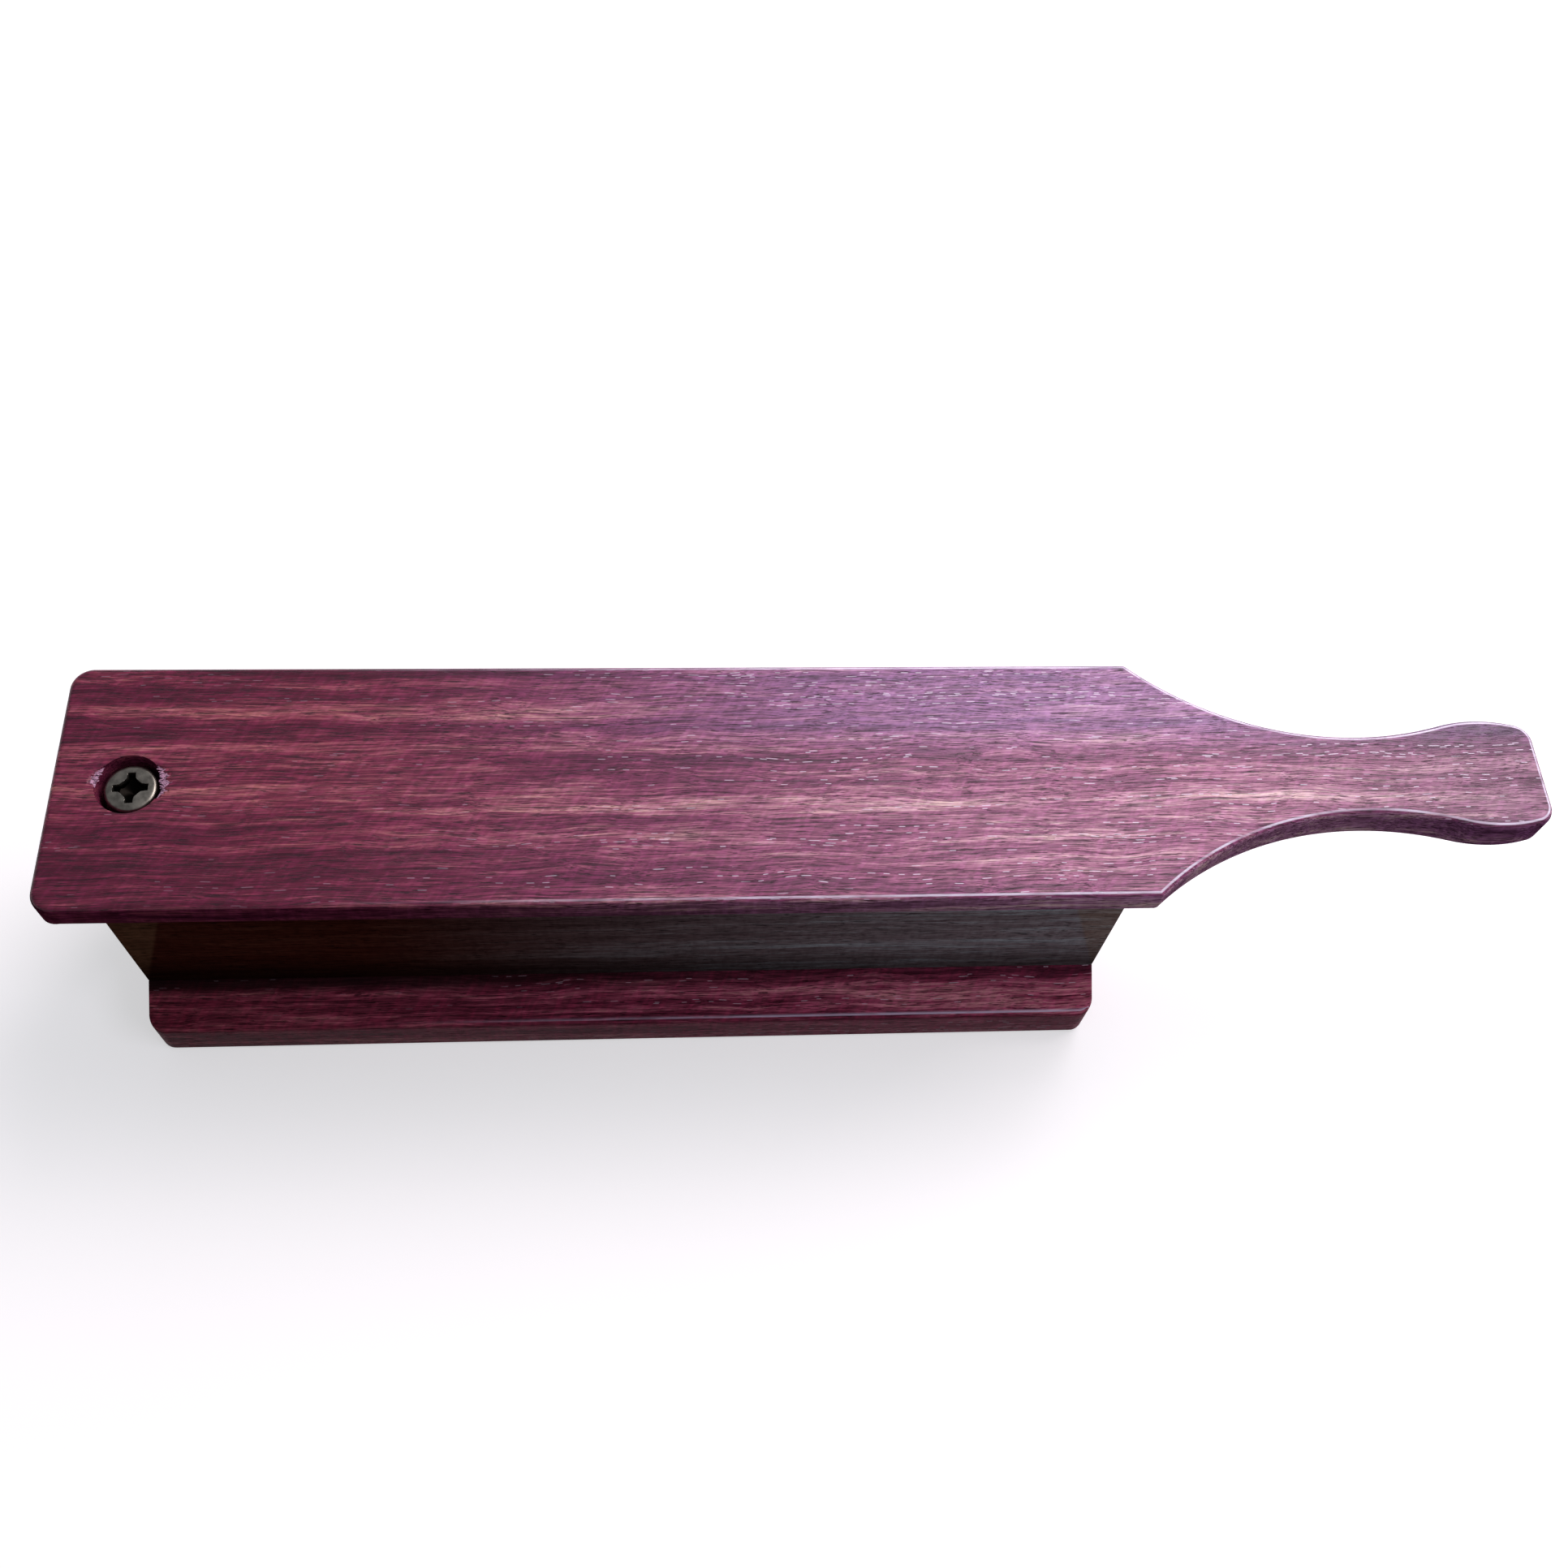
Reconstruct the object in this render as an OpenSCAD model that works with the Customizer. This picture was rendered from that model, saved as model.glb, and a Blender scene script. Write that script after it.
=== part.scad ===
/* [Sound box] */
// Length of the sound box
box_length = 208; // [180:1:230]
// Width over the outer faces of the two side boards
box_width = 44.6; // [38:0.2:50]
// Height of the side boards at the middle of their lips
board_height = 37.5; // [30:0.5:46]
// Thickness of each side board
board_thickness = 3.2; // [2.6:0.1:4.5]
// Thickness left along each lip, where the inner face is bevelled
lip_thickness = 1.7; // [1.2:0.1:2.4]
// Height of the bevel inside each lip
lip_bevel_height = 6; // [4:0.5:10]
// Rise of each lip from its ends to its middle
lip_bow = 0.8; // [0.4:0.1:1.6]
// Length of the end block that carries the screw
pivot_block_length = 14; // [12:0.5:20]
// Length of the end block under the shoulders of the lid
handle_block_length = 12.7; // [9:0.1:18]
// How far the handle end block stops below the lips
handle_block_drop = 1.6; // [1:0.1:4]

/* [Base board] */
// Thickness of the base board
base_thickness = 17; // [14:0.5:22]
// Width of the base board
base_width = 64; // [58:0.5:72]
// Angle at which the ledge beside each side board falls away
ledge_angle = 30; // [15:1:40]
// Radius of the four corners of the base board, seen from above
base_corner_radius = 3.2; // [2.6:0.1:6]
// Rounding of the lower edges of the base board
base_edge_round = 1.8; // [1:0.1:2.4]

/* [Lid] */
// Length of the lid, handle included
lid_length = 306; // [300:1:325]
// Width of the lid over the box
lid_width = 55; // [50:0.5:62]
// Thickness of the lid on its centre line
lid_thickness = 10.2; // [9.6:0.1:13]
// Radius of the crowned underside of the lid
crown_radius = 150; // [110:5:300]
// Radius of the two corners at the pivot end, seen from above
lid_corner_radius = 4.6; // [3:0.1:8]
// Rounding of the upper edges of the lid
top_round = 1.4; // [0.8:0.1:2]
// Rounding of the long lower edges of the lid
bottom_round = 2.6; // [1.5:0.1:3.4]
// Slope of the underside from its crest to the pivot end
relief_angle = 5; // [4.5:0.1:7]
// Gap between the lips and the lowest line of the lid
lip_gap = 0.3; // [0.2:0.05:0.6]

/* [Handle] */
// Length of the neck, from the shoulders to the narrowest place
neck_length = 47; // [38:1:56]
// Width at the narrowest place
waist_width = 18.6; // [15:0.2:22]
// Width at the widest place of the grip
bulb_width = 26.2; // [22:0.2:31]
// Radius of the full arcs at the sides of the grip
bulb_radius = 31.6; // [25:0.2:38]
// Length of the tip, from the widest place of the grip to the end of the lid
tip_length = 11.5; // [9.5:0.1:13.8]
// Radius of the two corners at the tip
tip_corner_radius = 4.5; // [3:0.1:5.2]
// Rounding of the lower edges of the handle
handle_round = 2.3; // [1:0.1:2.6]

/* [Pivot] */
// Distance from the pivot end of the lid to the screw
pivot_inset = 15.2; // [13:0.1:20]
// Distance from the end of the box to the screw
screw_inset = 6.1; // [5.8:0.1:7]
// Distance from the screw back to the crest that the lid rocks on
crest_offset = 5.5; // [4:0.1:5.7]
// Diameter of the counterbore in the lid
counterbore_diameter = 12.7; // [12.2:0.1:15]
// Depth of the counterbore
counterbore_depth = 8; // [7.6:0.1:8.4]
// Diameter of the screw head
head_diameter = 10.4; // [9:0.1:10.8]
// Height of the screw head
head_height = 2.5; // [2:0.1:2.7]
// Depth of the head below the top of the lid
head_sink = 1.4; // [1:0.1:1.8]
// Diameter of the screw shank
shank_diameter = 4.2; // [3.5:0.1:4.8]
// Length of the screw below its head
screw_length = 32; // [24:1:38]
// Width of the clearance hole in the lid, beyond the shank
shank_play = 1.2; // [1:0.1:1.8]
// Wire of the tension spring
spring_wire = 0.7; // [0.5:0.05:0.8]
// Outer diameter of the tension spring
spring_diameter = 9.4; // [8:0.1:9.8]
// Turns of the tension spring
spring_turns = 2.75; // [2:0.25:2.75]

/* [Hidden] */
$fn = 96;

// Extra length of every cutting shape, so that it passes the surface it opens
overrun = 1;
// Height by which the arc of a rounding passes the faces it joins, so that they cross cleanly
crossing = 0.005;
// Distance by which an arc of the outline stands off the flatter one it joins, for the same reason
arc_crossing = 0.06;
// Difference in radius between the roundings of neighbouring walls
round_step = 0.08;
// Running clearance on each side of the shank in the end block
shank_fit = 0.05;
// Gap under the screw's point in the end block
tip_gap = 0.7;
// Gap under the lid at the pivot end block, which is its seat
seat_gap = 0.2;
// Gap at each end of the spring
spring_seat_gap = 0.05;
// Angle and length by which a flat edge's cutter runs on past the tighter arc that follows it
over_angle = 4;
edge_run = 2;

// Rounded rim of the screw head
rim_round = 0.8;
// Length, arm width and depth of the cross recess
recess_length = 7;
recess_arm = 1.3;
recess_depth = 1.7;
// Width of the opened middle of the cross recess, and its full depth
recess_core = 3.6;
recess_core_depth = 2.2;
// Angle at which the cross was left when the screw was set
recess_turn = 2;
// Length of the screw's point and diameter of its end
point_length = 5;
point_diameter = 0.4;

// Rings and sides of the spring's tube
rings_per_turn = 8;
tube_sides = 6;

box_end_x = box_length / 2;
screw_x = screw_inset - box_end_x;
lid_x = screw_x - pivot_inset;
lip_z = base_thickness + board_height;
lid_z = lip_z + lip_gap;
lid_top_z = lid_z + lid_thickness;
inner_width = box_width - 2 * board_thickness;

half_lid = lid_width / 2;
half_waist = waist_width / 2;
half_bulb = bulb_width / 2;
crest_x = pivot_inset - crest_offset;

// The neck is one arc from the shoulder through the waist to where the grip's arc takes over
neck_fall = half_lid - half_waist;
neck_radius = (neck_length * neck_length + neck_fall * neck_fall) / (2 * neck_fall);
neck_y = half_waist + neck_radius;
shoulder_angle = atan2(neck_y - half_lid, -neck_length);

// The grip's arc touches the neck's arc: their centres lie the sum of both radii apart
bulb_rise = half_bulb - half_waist;
bulb_run = sqrt(2 * (neck_radius + bulb_radius) * bulb_rise - bulb_rise * bulb_rise);
bulb_y = half_bulb - bulb_radius;
join_angle = atan2(neck_y - bulb_y, bulb_run);
bulb_distance = lid_length - tip_length;
waist_distance = bulb_distance - bulb_run;
shoulder_distance = waist_distance - neck_length;

// The tip's corner circles touch the grip's arcs from inside and the straight end of the lid
tip_x = lid_length - tip_corner_radius;
tip_reach = bulb_radius - tip_corner_radius;
tip_y = bulb_y + sqrt(tip_reach * tip_reach - (tip_x - bulb_distance) * (tip_x - bulb_distance));
tip_angle = atan2(tip_y - bulb_y, tip_x - bulb_distance);

// Corner to be cut from a block that lies at x above 0 and z below 0
module round_waste(radius) {
    difference() {
        translate([-overrun, crossing - radius]) square([radius + overrun, radius + overrun]);
        translate([radius - crossing, crossing - radius]) circle(radius);
    }
}

// Edge cutter along a straight edge, from [0, 0, 0] along +X, for material that lies on the +Y side below
module straight_cut(length) {
    rotate([90, 0, 90]) linear_extrude(length) children();
}

// Edge cutter round the outside of an arc, for material inside its radius
module outer_arc_cut(path_radius, start, end) {
    rotate([0, 0, start]) rotate_extrude(angle = end - start)
        translate([path_radius, 0]) mirror([1, 0]) children();
}

// Edge cutter along a hollow arc, for material outside its radius
module inner_arc_cut(path_radius, start, end) {
    rotate([0, 0, start]) rotate_extrude(angle = end - start)
        translate([path_radius, 0]) children();
}

module both_sides() {
    children();
    mirror([0, 1, 0]) children();
}

module base_plan() {
    corner_x = box_end_x - base_corner_radius;
    corner_y = base_width / 2 - base_corner_radius;
    square([box_length, 2 * corner_y], center = true);
    square([2 * corner_x, base_width], center = true);
    for (side_x = [-1, 1], side_y = [-1, 1])
        translate([side_x * corner_x, side_y * corner_y]) circle(base_corner_radius);
}

// Lower edges of the base board, cut as if the board lay upside down
module base_edge_cuts() {
    corner_x = box_end_x - base_corner_radius;
    corner_y = base_width / 2 - base_corner_radius;
    both_sides() {
        translate([-corner_x - edge_run, -base_width / 2, 0])
            straight_cut(2 * (corner_x + edge_run)) round_waste(base_edge_round);
        translate([-corner_x, -corner_y, 0])
            outer_arc_cut(base_corner_radius, 180, 270) round_waste(base_edge_round);
        translate([corner_x, -corner_y, 0])
            outer_arc_cut(base_corner_radius, 270, 360) round_waste(base_edge_round);
    }
    for (turn = [0, 180])
        rotate([0, 0, turn]) translate([box_end_x, -corner_y - edge_run, 0]) rotate([0, 0, 90])
            straight_cut(2 * (corner_y + edge_run)) round_waste(base_edge_round);
}

module base_board() {
    half_base = base_width / 2;
    half_box = box_width / 2;
    ledge_z = base_thickness - (half_base - half_box) * tan(ledge_angle);
    color("#6b2f42") difference() {
        intersection() {
            linear_extrude(base_thickness) base_plan();
            translate([-box_end_x, 0, 0]) rotate([90, 0, 90]) linear_extrude(box_length)
                polygon([[-half_base, 0], [half_base, 0], [half_base, ledge_z], [half_box, base_thickness],
                    [-half_box, base_thickness], [-half_base, ledge_z]]);
        }
        mirror([0, 0, 1]) base_edge_cuts();
    }
}

// Side board on the front of the box: flat outside, its lip bowed along the box and bevelled inside
module side_board() {
    bow_radius = (box_end_x * box_end_x + lip_bow * lip_bow) / (2 * lip_bow);
    bevel_depth = board_thickness - lip_thickness;
    bevel_z = board_height - lip_bevel_height;
    inner_y = -inner_width / 2;
    color("#4a342e") difference() {
        translate([0, inner_y, base_thickness]) rotate([90, 0, 0]) linear_extrude(board_thickness)
            intersection() {
                translate([-box_end_x, 0]) square([box_length, board_height]);
                translate([0, board_height - bow_radius]) circle(bow_radius, $fn = 720);
            }
        translate([-box_end_x - overrun, inner_y, base_thickness + bevel_z])
            rotate([90, 0, 90]) linear_extrude(box_length + 2 * overrun)
                polygon([[0, 0], [-bevel_depth, lip_bevel_height], [-bevel_depth, lip_bevel_height + overrun],
                    [overrun, lip_bevel_height + overrun], [overrun, 0]]);
    }
}

module front_side_board() {
    side_board();
}

module rear_side_board() {
    mirror([0, 1, 0]) side_board();
}

module pivot_end_block() {
    block_top = lid_z - seat_gap;
    color("#5d4437") difference() {
        translate([-box_end_x, -inner_width / 2, base_thickness])
            cube([pivot_block_length, inner_width, block_top - base_thickness]);
        translate([screw_x, 0, lid_z - hole_depth()])
            cylinder(d = shank_diameter + 2 * shank_fit, h = hole_depth() + overrun);
    }
}

// Depth below the lid's lowest line that the screw's hole reaches in the end block
function hole_depth() = screw_length - (lid_thickness - head_sink - head_height) + tip_gap;

module handle_end_block() {
    color("#5d4437")
        translate([box_end_x - handle_block_length, -inner_width / 2, base_thickness])
            cube([handle_block_length, inner_width, board_height - handle_block_drop]);
}

// Plain slab of the lid's full length and width, its underside crowned across
module crowned_slab() {
    intersection() {
        translate([0, -half_lid, -overrun]) cube([lid_length, lid_width, lid_thickness + overrun]);
        translate([lid_length + overrun, 0, crown_radius]) rotate([0, -90, 0])
            cylinder(r = crown_radius, h = lid_length + 2 * overrun, $fn = 720);
    }
}

// Section of the waste beside a wall at x = 0 whose upper edge is rounded. Each second wall takes its
// rounding a little smaller, so that no four faces meet in one point.
module wall_waste(reach, less = 0) {
    translate([-reach, -overrun]) square([reach, lid_thickness + 2 * overrun]);
    translate([0, lid_thickness]) round_waste(top_round - less);
}

// The same where the lower edge is rounded too, as on the handle
module grip_waste(reach, less = 0) {
    wall_waste(reach, less);
    mirror([0, 1]) round_waste(handle_round - less);
}

// Waste beside the hollow arcs of the neck
module neck_cuts() {
    both_sides() translate([waist_distance, -neck_y, 0])
        inner_arc_cut(neck_radius, join_angle - over_angle, shoulder_angle + over_angle)
            grip_waste(neck_fall + overrun);
}

// Waste beside the full arcs of the grip
module grip_cuts() {
    both_sides() translate([bulb_distance, -bulb_y, 0])
        outer_arc_cut(bulb_radius + arc_crossing, 180 + join_angle, 360 - tip_angle + over_angle)
            grip_waste(lid_width, round_step);
}

// Waste round the corners of the tip
module tip_corner_cuts() {
    both_sides() translate([tip_x, -tip_y, 0])
        outer_arc_cut(tip_corner_radius + 2 * arc_crossing, 360 - tip_angle, 360) grip_waste(lid_width);
}

// Rounded edges of the straight end of the tip
module tip_cut() {
    translate([lid_length, -tip_y - edge_run, 0]) rotate([0, 0, 90])
        straight_cut(2 * (tip_y + edge_run)) grip_waste(overrun, round_step);
}

// Upper edges along the body
module side_cuts() {
    both_sides() translate([lid_corner_radius - edge_run, -half_lid, 0])
        straight_cut(shoulder_distance) wall_waste(overrun);
}

// Waste round the two corners at the pivot end
module corner_cuts() {
    both_sides() translate([lid_corner_radius, lid_corner_radius - half_lid, 0])
        outer_arc_cut(lid_corner_radius + arc_crossing, 180, 270) wall_waste(lid_corner_radius, round_step);
}

// Upper edge of the pivot end
module end_cut() {
    corner_y = half_lid - lid_corner_radius;
    translate([0, corner_y + edge_run, 0]) rotate([0, 0, -90])
        straight_cut(2 * (corner_y + edge_run)) wall_waste(overrun);
}

// Long lower edges of the lid: an arc that touches both the side and the crowned underside
module crown_edge_cuts() {
    arc_y = half_lid - bottom_round + crossing;
    reach = crown_radius - bottom_round + crossing;
    arc_z = crown_radius - sqrt(reach * reach - arc_y * arc_y);
    touch_angle = atan2(arc_y, crown_radius - arc_z);
    far = 2 * bottom_round;
    both_sides() translate([-overrun, 0, 0]) rotate([90, 0, 90])
        linear_extrude(shoulder_distance + far)
            difference() {
                polygon([[-arc_y, arc_z], [-arc_y - far * sin(touch_angle), arc_z - far * cos(touch_angle)],
                    [-arc_y - far, arc_z - far], [-arc_y - far, arc_z]]);
                translate([-arc_y, arc_z]) circle(bottom_round);
            }
}

// The end behind the crest slopes up, so the lid can rock without touching the box
module relief_cut() {
    translate([crest_x, -lid_width, 0]) rotate([0, relief_angle, 0])
        translate([-2 * crest_x, 0, -2 * lid_thickness])
            cube([2 * crest_x, 2 * lid_width, 2 * lid_thickness]);
}

// Slab cut to the outline of the handle, arc by arc from the shoulders to the tip
module lid_form() {
    difference() {
        difference() {
            difference() {
                crowned_slab();
                neck_cuts();
            }
            grip_cuts();
        }
        tip_corner_cuts();
        tip_cut();
    }
}

module lid_paddle() {
    color("#7c4058") translate([lid_x, 0, lid_z]) difference() {
        lid_form();
        side_cuts();
        corner_cuts();
        end_cut();
        crown_edge_cuts();
        relief_cut();
        translate([pivot_inset, 0, lid_thickness - counterbore_depth])
            cylinder(d = counterbore_diameter, h = counterbore_depth + overrun);
        translate([pivot_inset, 0, -overrun]) cylinder(d = shank_diameter + shank_play, h = lid_thickness);
    }
}

// Screw with a flat head, rounded rim and cross recess, a plain shank and a point
module pivot_screw() {
    head_bottom_z = lid_top_z - head_sink - head_height;
    color("#8a8982") translate([screw_x, 0, head_bottom_z]) difference() {
        union() {
            rotate_extrude() difference() {
                square([head_diameter / 2, head_height]);
                translate([head_diameter / 2, head_height]) mirror([1, 0]) round_waste(rim_round);
            }
            translate([0, 0, point_length - screw_length])
                cylinder(d = shank_diameter, h = screw_length - point_length + overrun);
            translate([0, 0, -screw_length])
                cylinder(d1 = point_diameter, d2 = shank_diameter, h = point_length);
        }
        translate([0, 0, head_height]) rotate([0, 0, recess_turn]) cross_recess();
    }
}

// Cross recess cut down from z = 0, with an opened middle that runs to a cone
module cross_recess() {
    for (turn = [0, 90]) rotate([0, 0, turn])
        translate([-recess_length / 2, -recess_arm / 2, -recess_depth])
            cube([recess_length, recess_arm, recess_depth + overrun]);
    rotate([0, 0, 45]) translate([-recess_core / 2, -recess_core / 2, -recess_depth])
        cube([recess_core, recess_core, recess_depth + overrun]);
    translate([0, 0, -recess_core_depth])
        cylinder(d1 = recess_arm, d2 = recess_core, h = recess_core_depth - recess_depth + overrun);
}

// Centre line of the spring's wire, climbing evenly from one seat to the other
spring_length = counterbore_depth - head_sink - head_height;
coil_radius = (spring_diameter - spring_wire) / 2;
coil_height = spring_length - spring_wire - 2 * spring_seat_gap;
coil_rings = round(spring_turns * rings_per_turn);
coil_lead = atan2(coil_height, spring_turns * 2 * PI * coil_radius);

function coil_angle(ring) = 360 * spring_turns * ring / coil_rings;
function coil_point(ring) = [coil_radius * cos(coil_angle(ring)), coil_radius * sin(coil_angle(ring)),
    coil_height * ring / coil_rings];
function coil_ring(ring, sides) = [for (side = [0 : sides - 1])
    let (angle = coil_angle(ring), around = 360 * side / sides,
        out = [cos(angle), sin(angle), 0],
        up = [sin(coil_lead) * sin(angle), -sin(coil_lead) * cos(angle), cos(coil_lead)])
    coil_point(ring) + spring_wire / 2 * (cos(around) * out + sin(around) * up)];

// Least gap of the wire to itself, between rings more than half a turn apart
coil_gap = min([for (a = [0 : coil_rings], b = [0 : coil_rings])
    if (b - a > rings_per_turn / 2) norm(coil_point(b) - coil_point(a))]) - spring_wire;
echo(least_spring_gap = coil_gap);

module tension_spring() {
    points = [for (ring = [0 : coil_rings]) each coil_ring(ring, tube_sides)];
    walls = [for (ring = [0 : coil_rings - 1], side = [0 : tube_sides - 1])
        let (next = (side + 1) % tube_sides,
            low = ring * tube_sides,
            high = low + tube_sides)
        each [[low + side, high + side, low + next], [low + next, high + side, high + next]]];
    first_cap = [for (side = [1 : tube_sides - 2]) [0, side, side + 1]];
    last = coil_rings * tube_sides;
    last_cap = [for (side = [1 : tube_sides - 2]) [last, last + side + 1, last + side]];
    color("#b9b8b0")
        translate([screw_x, 0, lid_top_z - counterbore_depth + spring_wire / 2 + spring_seat_gap])
            polyhedron(points, concat(walls, first_cap, last_cap));
}

base_board();
front_side_board();
rear_side_board();
pivot_end_block();
handle_end_block();
lid_paddle();
tension_spring();
pivot_screw();
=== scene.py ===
# %% [markdown]
# A paddle box call, dressed over its CAD frame. The frame is loaded first and never moved. Each
# piece below is a surface worked out with numpy from the maker's sizes in millimetres. Eight take
# the place of the frame's solids, and the ninth is the torn fibres of the lid.

# %% Load the frame
from functools import partial

import bmesh
import bpy
import numpy as np
from mathutils import Matrix, Vector


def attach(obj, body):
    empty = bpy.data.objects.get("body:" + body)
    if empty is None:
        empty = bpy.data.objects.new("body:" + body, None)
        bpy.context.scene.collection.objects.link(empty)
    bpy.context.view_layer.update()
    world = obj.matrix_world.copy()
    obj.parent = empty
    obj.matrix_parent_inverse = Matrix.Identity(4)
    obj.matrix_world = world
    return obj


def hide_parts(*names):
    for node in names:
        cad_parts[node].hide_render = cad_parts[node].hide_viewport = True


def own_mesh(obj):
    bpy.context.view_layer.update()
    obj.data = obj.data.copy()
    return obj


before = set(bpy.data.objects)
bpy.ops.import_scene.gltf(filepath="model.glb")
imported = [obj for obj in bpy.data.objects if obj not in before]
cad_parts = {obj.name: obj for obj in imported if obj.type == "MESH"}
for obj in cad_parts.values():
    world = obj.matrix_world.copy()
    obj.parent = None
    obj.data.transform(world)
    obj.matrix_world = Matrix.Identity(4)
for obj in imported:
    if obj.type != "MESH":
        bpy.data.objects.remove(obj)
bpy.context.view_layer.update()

# %% [markdown]
# Sizes. All of them are lengths on the real object, in millimetres: the box lies along X with its
# handle end at +X, and the underside of the base board is z = 0. MM turns them to metres once,
# when a mesh is made.

# %% Sizes of the box and the lid
MM = 0.001

box_end = 104.0
box_half_width = 22.3
board_thickness = 3.2
board_height = 37.5
lip_thickness, lip_bevel, lip_bow = 1.7, 6.0, 0.8
base_thickness, base_half_width, base_corner = 17.0, 32.0, 3.2
ledge_slope = np.tan(np.radians(30.0))
inner_half_width = box_half_width - board_thickness

lid_x, lid_z, lid_thickness = -113.1, 54.8, 10.2
lid_length, lid_half_width, lid_corner = 306.0, 27.5, 4.6
crown_radius = 150.0
shoulder_x, waist_x, waist_half = 220.0, 267.0, 9.3
bulb_x, bulb_half, tip_corner = 294.5, 13.1, 4.5

screw_x, crest_x = -97.9, -103.4
bore_radius, bore_depth, hole_radius = 6.35, 8.0, 2.7
head_radius, head_height, head_sink, rim_round = 5.2, 2.5, 1.4, 0.8
head_dome, head_ease, head_fillet = 0.16, 0.2, 0.25
shank_radius, screw_length, point_length = 2.1, 32.0, 5.0
wire_radius, coil_radius, turns, spring_gap = 0.35, 4.35, 2.75, 0.05
block_length, pivot_block_face, handle_block_height, seat_gap = 12.7, -90.0, 35.9, 0.2
pilot_radius, pilot_bottom = 2.15, 28.4
lid_top = lid_z + lid_thickness
print("lid top", lid_top, "mm, overall length", lid_length, "mm")

# %% [markdown]
# Mesh helpers. A sheet is a grid of points with quads between neighbours. A piece is a few sheets
# whose shared edges lie on the same points, so that welding closes them, and the normals are
# worked out again once it is closed.

# %% Grid and weld helpers
def grid(points, skip=None):
    """Sheet from an array of rows x columns x 3: one quad for each cell, less the masked cells."""
    rows, columns = points.shape[:2]
    corner = np.arange(rows * columns).reshape(rows, columns)
    quads = np.stack([corner[:-1, :-1], corner[1:, :-1], corner[1:, 1:], corner[:-1, 1:]], axis=-1)
    quads = quads.reshape(-1, 4) if skip is None else quads[~skip]
    return points.reshape(-1, 3), quads


def piece(name, sheets, sharp_degrees=40.0):
    """Joins the sheets into one closed mesh in metres, welded, with its faces pointing outwards."""
    sizes = np.cumsum([0] + [len(points) for points, _ in sheets])
    points = np.concatenate([points for points, _ in sheets]) * MM
    quads = np.concatenate([quads + start for (_, quads), start in zip(sheets, sizes)])
    mesh = bpy.data.meshes.new(name)
    mesh.from_pydata(points.tolist(), [], quads.tolist())
    work = bmesh.new()
    work.from_mesh(mesh)
    bmesh.ops.remove_doubles(work, verts=work.verts, dist=0.002 * MM)
    bmesh.ops.recalc_face_normals(work, faces=work.faces)
    open_edges = sum(1 for edge in work.edges if len(edge.link_faces) != 2)
    work.to_mesh(mesh)
    work.free()
    mesh.shade_smooth()
    mesh.set_sharp_from_angle(angle=np.radians(sharp_degrees))
    made = bpy.data.objects.new(name, mesh)
    bpy.context.scene.collection.objects.link(made)
    print(name, len(mesh.polygons), "faces,", open_edges, "edges not shared by two faces")
    return made


def stack(x, y, z):
    """Grid of points from three arrays that broadcast to the same rows x columns."""
    return np.stack(np.broadcast_arrays(x, y, z), axis=-1).astype(float)


def soften(made, width):
    """Rounds the sharp edges of a board, as sandpaper does, by a width in millimetres."""
    bevel = made.modifiers.new("eased_edges", "BEVEL")
    bevel.width, bevel.segments = width * MM, 3
    bevel.limit_method, bevel.angle_limit = "ANGLE", np.radians(30.0)
    return made


def read(items, name):
    """Vectors of the vertices or the faces of a mesh, as an array of n x 3."""
    values = np.zeros(len(items) * 3)
    items.foreach_get(name, values)
    return values.reshape(-1, 3)


def write(made, name, values):
    """Gives every vertex of a piece a number that its finish can read."""
    layer = made.data.attributes.new(name, "FLOAT", "POINT")
    layer.data.foreach_set("value", np.asarray(values, np.float32))

# %% [markdown]
# Board with rounded edges. The lid and the base board are both a flat outline with a top, an
# underside and rounded edges, and both are the same left and right of their centre line. So only
# the near half of the outline is given, from one end to the other. The surface is swept from it:
# across the top, round the upper edge, down the wall, round the lower edge and across the
# underside. The two straight ends are closed by the same profile, swept across.

# %% Board swept from half an outline
class HalfOutline:
    """Points of the near half of an outline, with the unit vectors that point into the board. Past
    the radius of a rounded corner, an inset point runs on along the corner's mitre."""

    def __init__(self):
        self.points, self.inward, self.soft, self.mitre = [], [], [], []
        self.corner = None

    def add(self, points, inward, soft=np.inf, mitre=(0.0, 0.0)):
        points, inward = np.atleast_2d(points).astype(float), np.atleast_2d(inward).astype(float)
        self.points.append(points)
        self.inward.append(np.broadcast_to(inward, points.shape))
        self.soft.append(np.full(len(points), soft))
        self.mitre.append(np.broadcast_to(mitre, points.shape))

    def arc(self, centre, radius, start, end, count, hollow=False, **corner):
        """Point = centre + radius (cos a, sin a), for a from start to end in degrees."""
        angle = np.radians(np.linspace(start, end, count))
        way = np.stack([np.cos(angle), np.sin(angle)], axis=1)
        self.add(np.array(centre) + radius * way, way if hollow else -way, **corner)

    def close(self):
        self.points, self.inward = np.concatenate(self.points), np.concatenate(self.inward)
        self.soft, self.mitre = np.concatenate(self.soft), np.concatenate(self.mitre)

    def inset(self, depth):
        """Outline moved into the board by depth, one depth for each point. Near a corner, a point
        that would pass the corner's mitre line stops on it, so that the sheet never folds over."""
        straight = np.minimum(depth, self.soft)[:, None]
        past = np.maximum(depth - self.soft, 0.0)[:, None]
        moved = self.points + self.inward * straight + np.where(past > 0, self.mitre * past, 0.0)
        if self.corner:
            row, tip, way = self.corner
            on_line = tip + way * np.broadcast_to(depth, len(moved))[:, None]
            off = moved - tip
            side = way[0] * off[:, 1] - way[1] * off[:, 0]
            crossed = np.where(np.arange(len(moved)) < row, side < 0, side > 0)
            near = np.linalg.norm(self.points - tip, axis=1) < 4.0
            held = crossed & near & np.isinf(self.soft)
            moved = np.where(held[:, None], on_line, moved)
        return moved


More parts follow.
